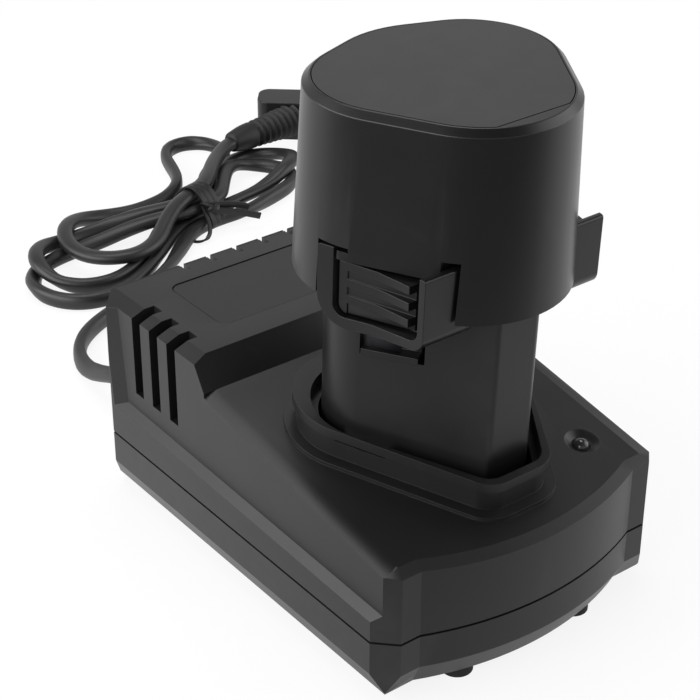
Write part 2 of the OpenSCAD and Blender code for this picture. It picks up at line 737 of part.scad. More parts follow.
// Plan of the right-hand latch, its outer line drawn in by g.
module latch_plan(g) difference() {
    polygon([[0, latch_front.y], [latch_front.x - g, latch_front.y], [latch_bend.x - g, latch_bend.y],
        [latch_rear.x - g, latch_rear.y], [0, latch_rear.y]]);
    rotate([0, 0, flank_a]) translate([-far, -far]) square([far + latch_in, 2 * far]);
}

module latch_slice(g, from, to) intersection() {
    prism(0, far) latch_plan(g);
    along_x(2 * far) taut(latch_side);
    box([-far, from.x, from.y], [far, to.x, to.y]);
}

module in_slot() intersection() {
    children();
    along_x(2 * far) taut(slot_side, -slot_gap);
}

// The pad keeps the rear stretch's direction, so it lies deeper toward the front, and leaves the ribs proud.
module pad_plan() {
    fall = (latch_rear.x - latch_bend.x) / (latch_rear.y - latch_bend.y) * (latch_rear.y - latch_front.y);
    difference() {
        polygon([[0, latch_front.y], [latch_rear.x - pad_inset - fall, latch_front.y],
            [latch_rear.x - pad_inset, latch_rear.y], [0, latch_rear.y]]);
        rotate([0, 0, flank_a]) translate([-far, -far]) square([far + latch_in, 2 * far]);
    }
}

module latch() {
    difference() {
        latch_slice(0, [-far, 0], [far, far]);
        along_x(far) taut(slot_side);
    }
    latch_slice(slot_depth, [slot_front - 0.5, latch_foot + 1], [slot_rear + 0.5, pad_top]);
    in_slot() intersection() {
        prism(latch_foot, pad_top) pad_plan();
        box([0, pad_front, 0], [far, far, far]);
    }
    in_slot() latch_slice(rib_inset, [pad_edge, latch_foot], [slot_rear, pad_top]);
    for (i = [0 : ribs - 1]) in_slot()
        latch_slice(rib_inset, [pad_front, pad_top - rib_h - i * rib_pitch], [slot_rear, pad_top - i * rib_pitch]);
    on_flank() {
        box([flank_d - 3, leg_y - leg_w / 2, 37.4], [latch_in + 0.2, leg_y + leg_w / 2, leg_top]);
        box([flank_d - 3, leg_y - leg_w / 2, hook_w], [flank_d - 1.6, leg_y + leg_w / 2, leg_top]);
        box([flank_d - 3, leg_y - leg_w / 2, hook_w], [flank_d + hook_out, leg_y + leg_w / 2, hook_w + hook_h]);
        box([flank_d + 0.1 - stem_wall + latch_travel * 0.83, leg_y - leg_w / 2, hook_w],
            [flank_d + hook_out, hook_rear, hook_w + hook_h]);
    }
}

module latch_right() color([0.18, 0.18, 0.19]) on_battery() latch();

module latch_left() color([0.18, 0.18, 0.19]) on_battery() mirror([1, 0, 0]) latch();

module latch_spring() on_flank() prism(37.6, 40) difference() {
    polygon([[latch_in, 5], [latch_in, 14], [latch_in - 0.3, 14], [latch_in - 1.1, 11], [latch_in - 1.1, 8],
        [latch_in - 0.3, 5]]);
    polygon([[latch_in - 0.3, 6.3], [latch_in - 0.3, 12.7], [latch_in - 0.8, 10.7], [latch_in - 0.8, 8.3]]);
}

module latch_spring_right() color([0.75, 0.75, 0.76]) on_battery() latch_spring();

module latch_spring_left() color([0.75, 0.75, 0.76]) on_battery() mirror([1, 0, 0]) latch_spring();

// Openings for the latches' legs and hooks, which slide a little forward along the flank as they move in.
module stem_windows() both_sides() on_flank() {
    front = leg_y - leg_w / 2 - latch_travel * sin(-flank_a) - 0.35;
    box([flank_d - 3.2, front, hook_w - 0.3], [far, leg_y + leg_w / 2 + 0.4, head_bottom + 0.8]);
    box([flank_d - 1.6, front, hook_w - 0.3], [far, hook_rear + 0.5, hook_w + hook_h + 3.6]);
}

module battery_stem() color([0.16, 0.16, 0.17]) on_battery() difference() {
    union() {
        prism(stem_bottom, flange_w + 2) taut(stem_outline());
        difference() {
            intersection() {
                prism(flange_w, flange_w + 2) taut(stem_outline(), 2.4);
                prism(flange_w - 1, flange_w + 3) taut(head_top, -head_wall - 0.15);
            }
            both_sides() latch_bay(latch_gap);
        }
        for (p = battery_screws_at) translate([p.x, p.y, flange_w]) cylinder(h = 5, r = 2.6);
    }
    prism(stem_bottom + stem_wall, far) taut(stem_outline(), -stem_wall);
    for (i = [0 : blades - 1])
        translate([(i - (blades - 1) / 2) * blade_pitch - blade_t / 2 - 0.5, 1 - blade_l / 2 - 0.8, stem_bottom - 1])
            cube([blade_t + 1, blade_l + 1.6, stem_wall + 2]);
    for (p = battery_screws_at) translate([p.x, p.y, 0]) cylinder(h = far, r = 1.2 + screw_gap);
    stem_windows();
}

module battery_head() color([0.14, 0.14, 0.15]) on_battery() difference() {
    slope = tan(head_draft);
    taut_loft(head_top, [[head_bottom, (head_top_w - head_bottom) * slope],
        [head_top_w - head_bevel, head_bevel * slope],
        [head_top_w, -head_bevel]]);
    prism(flange_w, plate_w0 - 1.6) taut(head_top, -head_wall);
    prism(0, far) intersection() {
        taut(head_top, -top_margin - 1.6);
        translate([-far, top_front_y + 1.6]) square(2 * far);
    }
    prism(plate_w0, far) top_outline(-0.15);
    prism(0, flange_w + 1) taut(stem_outline(), 0.1);
    both_sides() latch_bay(latch_gap);
    for (p = battery_screws_at) translate([p.x, p.y, 0]) cylinder(h = far, r = 1.2 + screw_gap);
}

module top_outline(g) intersection() {
    taut(head_top, -top_margin - g);
    translate([-far, top_front_y + g]) square(2 * far);
}

module battery_top_plate() color([0.15, 0.15, 0.16]) on_battery() prism(plate_w0, head_top_w) top_outline(0);

module battery_screws() color([0.6, 0.6, 0.62]) on_battery() for (p = battery_screws_at) translate([p.x, p.y, 0]) {
    translate([0, 0, head_bottom - 1.4]) cylinder(h = 1.4, r = 2.3);
    translate([0, 0, head_bottom]) cylinder(h = 6.5, r = 1.2);
}

module cells() color([0.2, 0.5, 0.35]) on_battery() for (p = cells_at) translate([p.x, p.y, cell_w]) {
    cylinder(h = cell_l, d = cell_d);
    translate([0, 0, cell_l]) cylinder(h = 0.3, d = cell_d * 0.4);
}

module cell_holder_lower() color([0.4, 0.4, 0.42]) on_battery() difference() {
    prism(stem_bottom + stem_wall + 4, cell_w + 4) taut(stem_outline(), -stem_wall - 0.1);
    for (p = cells_at) translate([p.x, p.y, cell_w - 0.4]) cylinder(h = far, d = cell_d + 0.1);
    prism(-far, cell_w + 0.1) translate([-far, -5]) square([2 * far, 11]);
    stem_windows();
}

module cell_holder_upper() color([0.4, 0.4, 0.42]) on_battery() difference() {
    union() {
        prism(cell_w + cell_l - 6, cell_w + cell_l + 1.8) taut(head_top, -head_wall - 0.2);
        for (p = board_posts) translate([p.x, p.y, cell_w + cell_l]) cylinder(h = 3.5, r = 2);
    }
    for (p = cells_at) translate([p.x, p.y, 0]) cylinder(h = cell_w + cell_l + 0.1, d = cell_d + 0.1);
    for (p = cells_at) translate([p.x, p.y, 0]) cylinder(h = far, d = cell_d * 0.6);
    translate([0, 0, cell_w + cell_l + 0.2]) strip(cells_at[1], cells_at[2], 5.4, far);
}

// A strip from one cell's middle to another's, reaching a little past both.
module strip(a, b, w, t) translate([a.x, a.y, 0]) rotate([0, 0, atan2(b.y - a.y, b.x - a.x)])
    translate([-3, -w / 2, 0]) cube([norm(b - a) + 6, w, t]);

module nickel_strips() color([0.8, 0.8, 0.8]) on_battery() {
    translate([0, 0, cell_w + cell_l + 0.3]) strip(cells_at[1], cells_at[2], 5, 0.3);
    translate([cells_at[0].x, cells_at[0].y, cell_w + cell_l + 0.3]) cylinder(h = 0.3, r = 3.5);
    translate([0, 0, cell_w - 0.35]) strip(cells_at[0], cells_at[1], 5, 0.3);
    translate([cells_at[2].x, cells_at[2].y, cell_w - 0.35]) cylinder(h = 0.3, r = 3.5);
}

module battery_contacts() color([0.78, 0.7, 0.4]) on_battery() for (i = [0 : blades - 1])
    translate([(i - (blades - 1) / 2) * blade_pitch, 1, stem_bottom + stem_wall]) {
        for (s = [-1, 1]) translate([s * (blade_t / 2 + 0.45) - 0.25, -2.5, 0.1]) cube([0.5, 5, 6.4]);
        translate([-blade_t / 2 - 0.7, -2.5, 6]) cube([blade_t + 1.4, 5, 0.5]);
    }

module protection_board() color([0.1, 0.3, 0.4]) on_battery() {
    w = cell_w + cell_l + 3.5;
    prism(w, w + board_t) taut(head_top, -head_wall - 1);
    for (p = [[-6, 2], [7, 4]]) translate([p.x - 2.5, p.y - 2, w + board_t]) cube([5, 4, 1.4]);
}

bottom_shell();
top_shell();
rubber_feet();
case_screws();
label_plate();
lamp_lens();
status_lamp();
circuit_board();
board_screws();
transformer_core();
transformer_coil();
capacitors();
heat_sink();
fuse();
contact_block();
contact_blades();
strain_relief();
cord_lead();
cord_hank();
cord_tie();
cord_tail();
plug_relief();
plug_body();
plug_pins();
battery_stem();
battery_head();
battery_top_plate();
battery_screws();
cells();
cell_holder_lower();
cell_holder_upper();
nickel_strips();
battery_contacts();
protection_board();
latch_left();
latch_right();
latch_spring_left();
latch_spring_right();
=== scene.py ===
import math
import bmesh
import bpy
from mathutils import Matrix, Vector


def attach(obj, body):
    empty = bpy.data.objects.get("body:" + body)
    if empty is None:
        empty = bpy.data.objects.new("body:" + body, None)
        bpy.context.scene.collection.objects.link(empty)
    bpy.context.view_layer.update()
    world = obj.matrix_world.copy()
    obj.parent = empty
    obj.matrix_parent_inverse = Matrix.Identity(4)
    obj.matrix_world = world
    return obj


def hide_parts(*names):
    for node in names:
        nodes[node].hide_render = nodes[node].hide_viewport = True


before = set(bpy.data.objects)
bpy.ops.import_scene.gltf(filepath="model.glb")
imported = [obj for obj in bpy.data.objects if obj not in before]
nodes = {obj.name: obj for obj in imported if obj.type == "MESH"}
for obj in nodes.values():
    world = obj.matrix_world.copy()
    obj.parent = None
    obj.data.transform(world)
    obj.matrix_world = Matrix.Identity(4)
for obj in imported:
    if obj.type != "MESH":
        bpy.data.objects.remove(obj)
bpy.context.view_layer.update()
mm = 0.001

view = {
    "place": (-0.20909, -0.26005, 0.24380),
    "right": (0.792, -0.6105, 0.0034),
    "up": (0.3094, 0.4062, 0.8598),
    "back": (-0.5263, -0.6799, 0.5106),
    "lens": 97.63,
    "sensor": 36,
}


def makeCamera():
    camera = bpy.data.cameras.new("camera")
    camera.lens = view["lens"]
    camera.sensor_width = view["sensor"]
    camera.clip_start = 0.01
    holder = bpy.data.objects.new("camera", camera)
    bpy.context.scene.collection.objects.link(holder)
    turn = Matrix((view["right"], view["up"], view["back"])).transposed().to_4x4()
    holder.matrix_world = Matrix.Translation(view["place"]) @ turn
    bpy.context.scene.camera = holder


makeCamera()
print("camera placed")


def finishMesh(name, bm, material, smoothAngle=40, body="charger"):
    mesh = bpy.data.meshes.new(name)
    bm.to_mesh(mesh)
    bm.free()
    mesh.materials.append(material)
    for face in mesh.polygons:
        face.use_smooth = True
    mesh.set_sharp_from_angle(angle=math.radians(smoothAngle))
    piece = bpy.data.objects.new(name, mesh)
    bpy.context.scene.collection.objects.link(piece)
    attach(piece, body)
    return piece


def weightNormals(piece):
    even = piece.modifiers.new("evenNormals", "WEIGHTED_NORMAL")
    even.keep_sharp = True
    even.weight = 60


def newGroup(name, inputs, outputs):
    group = bpy.data.node_groups.new(name, "ShaderNodeTree")
    for label, kind, value in inputs:
        socket = group.interface.new_socket(label, in_out="INPUT", socket_type=kind)
        socket.default_value = value
    for label, kind in outputs:
        group.interface.new_socket(label, in_out="OUTPUT", socket_type=kind)
    return group, group.nodes.new("NodeGroupInput"), group.nodes.new("NodeGroupOutput")


def addNode(tree, kind, **settings):
    node = tree.nodes.new(kind)
    for key, value in settings.items():
        if key in node.inputs:
            node.inputs[key].default_value = value
        else:
            setattr(node, key, value)
    return node


def mathNode(tree, operation, first, second=None, clamp=False):
    node = tree.nodes.new("ShaderNodeMath")
    node.operation = operation
    node.use_clamp = clamp
    for slot, value in ((0, first), (1, second)):
        if value is None:
            continue
        if hasattr(value, "is_linked"):
            tree.links.new(value, node.inputs[slot])
        else:
            node.inputs[slot].default_value = value
    return node.outputs[0]


def rangeNode(tree, value, source, target):
    node = addNode(tree, "ShaderNodeMapRange", clamp=True)
    for label, number in zip(("From Min", "From Max", "To Min", "To Max"), (*source, *target)):
        node.inputs[label].default_value = number
    tree.links.new(value, node.inputs["Value"])
    return node.outputs["Result"]


def mixColor(tree, factor, first, second):
    node = tree.nodes.new("ShaderNodeMix")
    node.data_type = "RGBA"
    for slot, value in ((0, factor), (6, first), (7, second)):
        if hasattr(value, "is_linked"):
            tree.links.new(value, node.inputs[slot])
        else:
            node.inputs[slot].default_value = value
    return node.outputs[2]


# Fine moulded grain: a height for bump, and a slow uneven gloss.
def makeGrainGroup():
    group, gin, gout = newGroup(
        "mouldedGrain",
        [("Position", "NodeSocketVector", (0, 0, 0)), ("Grain Size", "NodeSocketFloat", 2500),
         ("Cloud Size", "NodeSocketFloat", 60), ("Roughness", "NodeSocketFloat", 0.45),
         ("Unevenness", "NodeSocketFloat", 0.08)],
        [("Height", "NodeSocketFloat"), ("Roughness", "NodeSocketFloat"), ("Cloud", "NodeSocketFloat")])
    fine = addNode(group, "ShaderNodeTexNoise", Detail=3, Roughness=0.6)
    group.links.new(gin.outputs["Position"], fine.inputs["Vector"])
    group.links.new(gin.outputs["Grain Size"], fine.inputs["Scale"])
    cloud = addNode(group, "ShaderNodeTexNoise", Detail=5, Roughness=0.55)
    group.links.new(gin.outputs["Position"], cloud.inputs["Vector"])
    group.links.new(gin.outputs["Cloud Size"], cloud.inputs["Scale"])
    swing = mathNode(group, "SUBTRACT", cloud.outputs["Fac"], 0.5)
    swing = mathNode(group, "MULTIPLY", swing, gin.outputs["Unevenness"])
    speck = mathNode(group, "MULTIPLY", fine.outputs["Fac"], 0.04)
    rough = mathNode(group, "ADD", gin.outputs["Roughness"], swing)
    rough = mathNode(group, "ADD", rough, speck, clamp=True)
    group.links.new(fine.outputs["Fac"], gout.inputs["Height"])
    group.links.new(rough, gout.inputs["Roughness"])
    group.links.new(cloud.outputs["Fac"], gout.inputs["Cloud"])
    return group


# Where the edge mask and the scuffs begin and are full, and the size of their patches.
wearAndSheenLook = {"ridge": (0.52, 0.62), "scuff": (0.66, 0.74), "patchSize": 220, "scuffSize": 90}


# A mask that is 1 on outside edges, where it marks wear and a painted highlight together, and in small scuffs.
def makeWearAndSheenGroup():
    group, gin, gout = newGroup(
        "edgeWearAndSheen",
        [("Position", "NodeSocketVector", (0, 0, 0)), ("Edge", "NodeSocketFloat", 0.5),
         ("Scuffs", "NodeSocketFloat", 0.2)],
        [("Mask", "NodeSocketFloat")])
    geometry = group.nodes.new("ShaderNodeNewGeometry")
    ridge = rangeNode(group, geometry.outputs["Pointiness"], wearAndSheenLook["ridge"], (0, 1))
    patch = addNode(group, "ShaderNodeTexNoise", Scale=wearAndSheenLook["patchSize"], Detail=4)
    group.links.new(gin.outputs["Position"], patch.inputs["Vector"])
    broken = mathNode(group, "MULTIPLY", ridge, patch.outputs["Fac"])
    edge = mathNode(group, "MULTIPLY", broken, gin.outputs["Edge"])
    scratch = addNode(group, "ShaderNodeTexNoise", Scale=wearAndSheenLook["scuffSize"], Detail=6, Distortion=1.5)
    group.links.new(gin.outputs["Position"], scratch.inputs["Vector"])
    rare = rangeNode(group, scratch.outputs["Fac"], wearAndSheenLook["scuff"], (0, 1))
    scuff = mathNode(group, "MULTIPLY", rare, gin.outputs["Scuffs"])
    group.links.new(mathNode(group, "ADD", edge, scuff, clamp=True), gout.inputs["Mask"])
    return group


mouldedGrain = makeGrainGroup()
edgeWearAndSheen = makeWearAndSheenGroup()


def newMaterial(name):
    material = bpy.data.materials.new(name)
    material.use_nodes = True
    tree = material.node_tree
    shader = tree.nodes["Principled BSDF"]
    place = tree.nodes.new("ShaderNodeTexCoord")
    return material, tree, shader, place.outputs["Object"]


def addBump(tree, shader, height, strength, depth):
    bump = addNode(tree, "ShaderNodeBump", Strength=strength, Distance=depth * mm)
    tree.links.new(height, bump.inputs["Height"])
    tree.links.new(bump.outputs["Normal"], shader.inputs["Normal"])


# Moulded plastic or rubber. The colour is linear, the depth of the grain in millimetres.
def plastic(name, color, roughness, grain=2500, depth=0.02, edge=0.5, scuffs=0.15, unevenness=0.1,
            specular=0.5, cloudy=0.12):
    material, tree, shader, position = newMaterial(name)
    group = addNode(tree, "ShaderNodeGroup", node_tree=mouldedGrain)
    tree.links.new(position, group.inputs["Position"])
    group.inputs["Grain Size"].default_value = grain
    group.inputs["Roughness"].default_value = roughness
    group.inputs["Unevenness"].default_value = unevenness
    wearAndSheen = addNode(tree, "ShaderNodeGroup", node_tree=edgeWearAndSheen)
    tree.links.new(position, wearAndSheen.inputs["Position"])
    wearAndSheen.inputs["Edge"].default_value = edge
    wearAndSheen.inputs["Scuffs"].default_value = scuffs
    deep = (*[c * (1 - cloudy) for c in color], 1)
    pale = (*[c * (1 + cloudy) for c in color], 1)
    # Under the mask the tone is lighter: wear in the scuffs, and on outside edges wear together with a painted
    # highlight.
    wornAndLit = (*[min(1, c * 2.2 + 0.01) for c in color], 1)
    tone = mixColor(tree, group.outputs["Cloud"], deep, pale)
    tone = mixColor(tree, wearAndSheen.outputs["Mask"], tone, wornAndLit)
    tree.links.new(tone, shader.inputs["Base Color"])
    tree.links.new(group.outputs["Roughness"], shader.inputs["Roughness"])
    addBump(tree, shader, group.outputs["Height"], 0.5, depth)
    shader.inputs["Specular IOR Level"].default_value = specular
    return material


# Bare or plated metal with a brushed or pressed surface.
def metal(name, color, roughness, stretch=(1, 1, 1), grain=900, depth=0.01):
    material, tree, shader, position = newMaterial(name)
    turned = addNode(tree, "ShaderNodeMapping")
    turned.inputs["Scale"].default_value = stretch
    tree.links.new(position, turned.inputs["Vector"])
    group = addNode(tree, "ShaderNodeGroup", node_tree=mouldedGrain)
    tree.links.new(turned.outputs["Vector"], group.inputs["Position"])
    group.inputs["Grain Size"].default_value = grain
    group.inputs["Roughness"].default_value = roughness
    group.inputs["Unevenness"].default_value = 0.25
    dull = (*[c * 0.72 for c in color], 1)
    tree.links.new(mixColor(tree, group.outputs["Cloud"], dull, (*color, 1)), shader.inputs["Base Color"])
    tree.links.new(group.outputs["Roughness"], shader.inputs["Roughness"])
    shader.inputs["Metallic"].default_value = 1
    addBump(tree, shader, group.outputs["Height"], 0.4, depth)
    return material


def clearPlastic(name, color, roughness, clearness=0.75):
    material, tree, shader, position = newMaterial(name)
    haze = addNode(tree, "ShaderNodeTexNoise", Scale=400, Detail=3)
    tree.links.new(position, haze.inputs["Vector"])
    dim = (*[c * 0.8 for c in color], 1)
    tree.links.new(mixColor(tree, haze.outputs["Fac"], dim, (*color, 1)), shader.inputs["Base Color"])
    rough = mathNode(tree, "MULTIPLY", haze.outputs["Fac"], roughness * 2)
    tree.links.new(rough, shader.inputs["Roughness"])
    shader.inputs["Transmission Weight"].default_value = clearness
    shader.inputs["IOR"].default_value = 1.49
    return material


housingPlastic = plastic("housingPlastic", (0.008, 0.008, 0.0088), 0.36, grain=2600, depth=0.022, specular=0.4)
batteryPlastic = plastic("batteryPlastic", (0.005, 0.005, 0.0056), 0.3, grain=3200, depth=0.012, specular=0.4)
stemPlastic = plastic("stemPlastic", (0.007, 0.007, 0.0077), 0.32, grain=3000, depth=0.012, specular=0.4)
topPlastic = plastic("topPlastic", (0.01, 0.01, 0.0112), 0.38, grain=3600, depth=0.012, specular=0.4)
platePlastic = plastic("platePlastic", (0.014, 0.014, 0.0158), 0.42, grain=4000, depth=0.015, specular=0.3)
footRubber = plastic("footRubber", (0.009, 0.009, 0.009), 0.75, grain=1800, depth=0.05, specular=0.3)
cordPlastic = plastic("cordPlastic", (0.012, 0.012, 0.0132), 0.4, grain=1400, depth=0.03, cloudy=0.2, specular=0.45)
bootPlastic = plastic("bootPlastic", (0.01, 0.01, 0.011), 0.5, grain=1400, depth=0.03, specular=0.3)
tiePlastic = plastic("tiePlastic", (0.008, 0.008, 0.0085), 0.42, grain=1800, depth=0.03, specular=0.35)
innerPlastic = plastic("innerPlastic", (0.03, 0.03, 0.033), 0.55)
ferrite = plastic("ferrite", (0.028, 0.026, 0.026), 0.6, grain=1200, depth=0.08, cloudy=0.4)
windingTape = plastic("windingTape", (0.62, 0.42, 0.05), 0.4, grain=900, depth=0.03)
capacitorSleeve = plastic("capacitorSleeve", (0.012, 0.02, 0.075), 0.25)
boardLaminate = plastic("boardLaminate", (0.01, 0.085, 0.035), 0.35, grain=1500, depth=0.02, cloudy=0.3)
cellSleeve = plastic("cellSleeve", (0.035, 0.036, 0.04), 0.3)
screwSteel = metal("screwSteel", (0.45, 0.45, 0.47), 0.35)
springSteel = metal("springSteel", (0.52, 0.52, 0.53), 0.3, stretch=(1, 1, 8))
bareAluminium = metal("bareAluminium", (0.75, 0.76, 0.77), 0.4, stretch=(1, 1, 12))
contactBrass = metal("contactBrass", (0.78, 0.6, 0.3), 0.3, stretch=(1, 1, 10))
nickelSheet = metal("nickelSheet", (0.66, 0.64, 0.6), 0.32, stretch=(1, 10, 1))
pinMetal = metal("pinMetal", (0.72, 0.7, 0.66), 0.22)
lensPlastic = clearPlastic("lensPlastic", (0.06, 0.06, 0.065), 0.1, 0.3)
lampPlastic = clearPlastic("lampPlastic", (0.25, 0.55, 0.28), 0.2)
fuseGlass = clearPlastic("fuseGlass", (0.85, 0.9, 0.9), 0.05)

finishes = {
    "bottom_shell": housingPlastic, "top_shell": housingPlastic, "rubber_feet": footRubber,
    "case_screws": screwSteel, "label_plate": platePlastic, "lamp_lens": lensPlastic, "status_lamp": lampPlastic,
    "circuit_board": boardLaminate, "board_screws": screwSteel, "transformer_core": ferrite,
    "transformer_coil": windingTape, "capacitors": capacitorSleeve, "heat_sink": bareAluminium,
    "fuse": fuseGlass, "contact_block": innerPlastic, "contact_blades": contactBrass,
    "strain_relief": bootPlastic, "cord_lead": cordPlastic, "cord_hank": cordPlastic, "cord_tie": tiePlastic,
    "cord_tail": cordPlastic, "plug_relief": bootPlastic, "plug_body": housingPlastic, "plug_pins": pinMetal,
    "battery_stem": stemPlastic, "battery_head": batteryPlastic, "battery_top_plate": topPlastic,
    "battery_screws": screwSteel, "cells": cellSleeve, "cell_holder_lower": innerPlastic,
    "cell_holder_upper": innerPlastic, "nickel_strips": nickelSheet, "battery_contacts": contactBrass,
    "protection_board": boardLaminate, "latch_left": batteryPlastic, "latch_right": batteryPlastic,
    "latch_spring_left": springSteel, "latch_spring_right": springSteel,
}
for name, finish in finishes.items():
    for spot in nodes[name].material_slots:
        spot.material = finish
print("materials made")


# The route gives x, y, z in millimetres, and the turn of the cord's wide side in degrees.
cord = {
    "width": 4.4, "thickness": 3.3, "perSpan": 6, "around": 16, "smoothAngle": 60,
    "route": [
        (-18, 52.5, 10.2, 0), (-18, 58, 10.2, 0), (-18, 63, 10.2, 0), (-18, 68, 10.2, 0), (-18, 73, 9.9, 0),
        (-18, 79, 8, 5), (-17.9, 86, 4.9, 25), (-17.4, 93, 2.7, 60), (-15.4, 100, 2.25, 90), (-11, 106.2, 2.25, 90),
        (-4.6, 110.6, 2.25, 90), (2.6, 113.6, 2.25, 90), (10.4, 115.8, 2.25, 90), (18.4, 119.4, 2.25, 90),
        (26, 124.4, 2.25, 70), (33.2, 130.2, 2, 30), (39.6, 136, 1.9, 0), (45.3, 140.3, 2, 0), (53.1, 141.8, 2, 0),
        (60.6, 141, 2, 20), (67, 141.4, 2.25, 50), (73.4, 143.4, 2.25, 90), (79.9, 145.3, 2.25, 90),
        (85.7, 148.1, 2.25, 90), (88.9, 153.8, 2.25, 60), (87.8, 160.2, 2, 20), (82.8, 164.9, 2.2, 0),
        (76.4, 165.2, 4.2, 0), (71, 161.4, 5.4, 0), (66.8, 156.6, 5.8, 0), (63, 151.8, 5.8, 0),
        (59.4, 147.4, 5.8, 0), (52.2, 144.8, 5.9, 0), (44.4, 144.3, 5.9, 0), (36.8, 146, 5.7, 0),
        (29, 148.2, 4.2, 20), (20.8, 149.6, 2.2, 30), (12.4, 149.8, 1.9, 20), (4.2, 148.6, 1.8, 10),
        (-2.4, 145.2, 1.8, 10), (-6.4, 139.2, 2.1, 50), (-7, 132.1, 2.25, 90), (-4, 125.5, 2.25, 90),
        (2, 121.4, 2.25, 90), (9.4, 121, 2.25, 90), (16.8, 123.8, 2.25, 90), (23.8, 128.6, 2.25, 80),
        (30.6, 134.2, 2.1, 40), (37.2, 140.2, 2, 10), (44.2, 145, 2.1, 0), (52, 147.2, 2.2, 0),
        (60, 147.4, 2.1, 10), (66.4, 148.4, 2.25, 30), (72.8, 149.2, 2.25, 20), (79, 149.8, 3.6, 0),
        (84.6, 151.1, 5.6, 0), (89.4, 154.1, 5.7, 0), (93.4, 159, 4.6, 0), (93.8, 165.4, 2.6, 0),
        (89.9, 170.7, 1.8, 0), (83.7, 172.6, 1.8, 0), (77.8, 170.9, 1.8, 0), (73, 167.3, 2, 0),
        (69.2, 163.4, 3.2, 0), (65.2, 159.2, 5, 0), (60.6, 154.8, 5.6, 0), (51.8, 149.6, 5.8, 0),
        (44, 149.4, 5.8, 0), (36.4, 151.6, 5.5, 0), (28.6, 153.8, 4, 30), (20, 155.2, 2.4, 60),
        (11.2, 154.8, 2.6, 40), (4.2, 152.6, 4.8, 10), (-0.7, 147.6, 5.7, 0), (-2.5, 141, 5.2, 10),
        (-0.7, 134.3, 2.8, 50), (4.2, 129.4, 2.25, 90), (11, 127.5, 2.25, 90), (18, 129.4, 2.25, 90),
        (25, 134, 2.25, 70), (31.8, 139.8, 2.1, 40), (38, 145.8, 2, 10), (44.4, 149.9, 2.1, 0), (51.4, 152, 2.1, 0),
        (58, 154.4, 1.9, 0), (61.8, 158.6, 1.8, 0), (65, 164.2, 1.8, 0), (69.2, 168.8, 1.8, 0),
        (74.2, 172.2, 1.8, 0), (79.4, 175, 1.8, 0), (82.3, 179.8, 1.8, 0), (81.6, 185.3, 1.8, 0),
        (77.9, 189.4, 2, 40), (72.4, 190.5, 2.2, 70), (67.2, 188.4, 2.25, 90), (64.3, 183.6, 2.25, 90),
        (62.6, 178.2, 2.25, 90), (60.8, 172.8, 2.25, 90), (58.2, 167.8, 2.25, 90), (54.4, 163.8, 2.2, 70),
        (49.6, 161.2, 2.1, 50), (43.8, 160, 2, 40), (37, 159.6, 2.1, 40), (30, 161.2, 2.4, 40), (23, 161.4, 4, 20),
        (16.6, 158.8, 5.8, 0), (12, 153.8, 6.1, 0), (9.6, 147.4, 5.8, 0), (9.6, 140.6, 5.6, 0),
        (12.6, 134.8, 5.8, 0), (18.6, 131, 6, 0), (25.2, 131.2, 6.1, 0), (31.2, 135, 6.6, 0), (36.6, 140, 8.2, 0),
        (43.6, 144.6, 9.4, 0), (51.2, 147.6, 9.4, 0), (58, 151.9, 9.3, 0), (62.6, 157, 9, 0), (67, 162, 8.4, 0),
        (71.4, 166.3, 7.8, 0), (75.8, 169.8, 7.6, 0), (80, 172, 7.6, 0), (84.5, 172.8, 7.4, 0),
    ],
}


# A smooth line that follows the points loosely, with its end points kept.
def smoothRoute(points, perSpan):
    points = [Vector(p) for p in points]
    points = [2 * points[0] - points[1], *points, 2 * points[-1] - points[-2]]
    line = []
    for i in range(1, len(points) - 2):
        a, b, c, d = points[i - 1], points[i], points[i + 1], points[i + 2]
        for k in range(perSpan):
            t = k / perSpan
            line.append(((1 - t) ** 3 * a + (3 * t ** 3 - 6 * t ** 2 + 4) * b
                         + (-3 * t ** 3 + 3 * t ** 2 + 3 * t + 1) * c + t ** 3 * d) / 6)
    line.append((points[-3] + 4 * points[-2] + points[-1]) / 6)
    return line


# An oval swept along points in millimetres. A fourth number turns its wide side from level, unless
# wideAxis holds it. scales, if given, has one factor for each point.
def sweepOval(bm, line, width, thickness, around, wideAxis=None, flatness=2.6, scales=None):
    rings = []
    for i, point in enumerate(line):
        ahead = Vector(line[min(i + 1, len(line) - 1)][:3]) - Vector(line[max(i - 1, 0)][:3])
        ahead.normalize()
        if wideAxis:
            wide = (wideAxis - ahead * wideAxis.dot(ahead)).normalized()
        else:
            side = ahead.cross(Vector((0, 0, 1))).normalized()
            turn = math.radians(point[3])
            wide = math.cos(turn) * side + math.sin(turn) * side.cross(ahead)
        thin = ahead.cross(wide)
        scale = scales[i] if scales else 1
        ring = []
        for k in range(around):
            a = 2 * math.pi * k / around
            c, s = math.cos(a), math.sin(a)
            reach = scale * (abs(c) ** flatness + abs(s) ** flatness) ** (-1 / flatness)
            spot = Vector(point[:3]) + reach * (width / 2 * c * wide + thickness / 2 * s * thin)
            ring.append(bm.verts.new(spot * mm))
        rings.append(ring)
    for first, second in zip(rings, rings[1:]):
        for k in range(around):
            n = (k + 1) % around
            bm.faces.new((first[k], first[n], second[n], second[k]))
    bm.faces.new(rings[0])
    bm.faces.new(rings[-1][::-1])
    bmesh.ops.recalc_face_normals(bm, faces=bm.faces)


def makeCord():
    line = smoothRoute(cord["route"], cord["perSpan"])
    bm = bmesh.new()
    sweepOval(bm, line, cord["width"], cord["thickness"], cord["around"])
    piece = finishMesh("mainsCord", bm, cordPlastic, cord["smoothAngle"])
    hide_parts("cord_lead", "cord_hank", "cord_tail")
    path = [tuple(c * mm for c in p[:3]) for p in line]
    length = sum((Vector(b) - Vector(a)).length for a, b in zip(path, path[1:]))
    print("cord length", round(length, 4))
    return piece, path, length


mainsCord, cordPath, cordLength = makeCord()

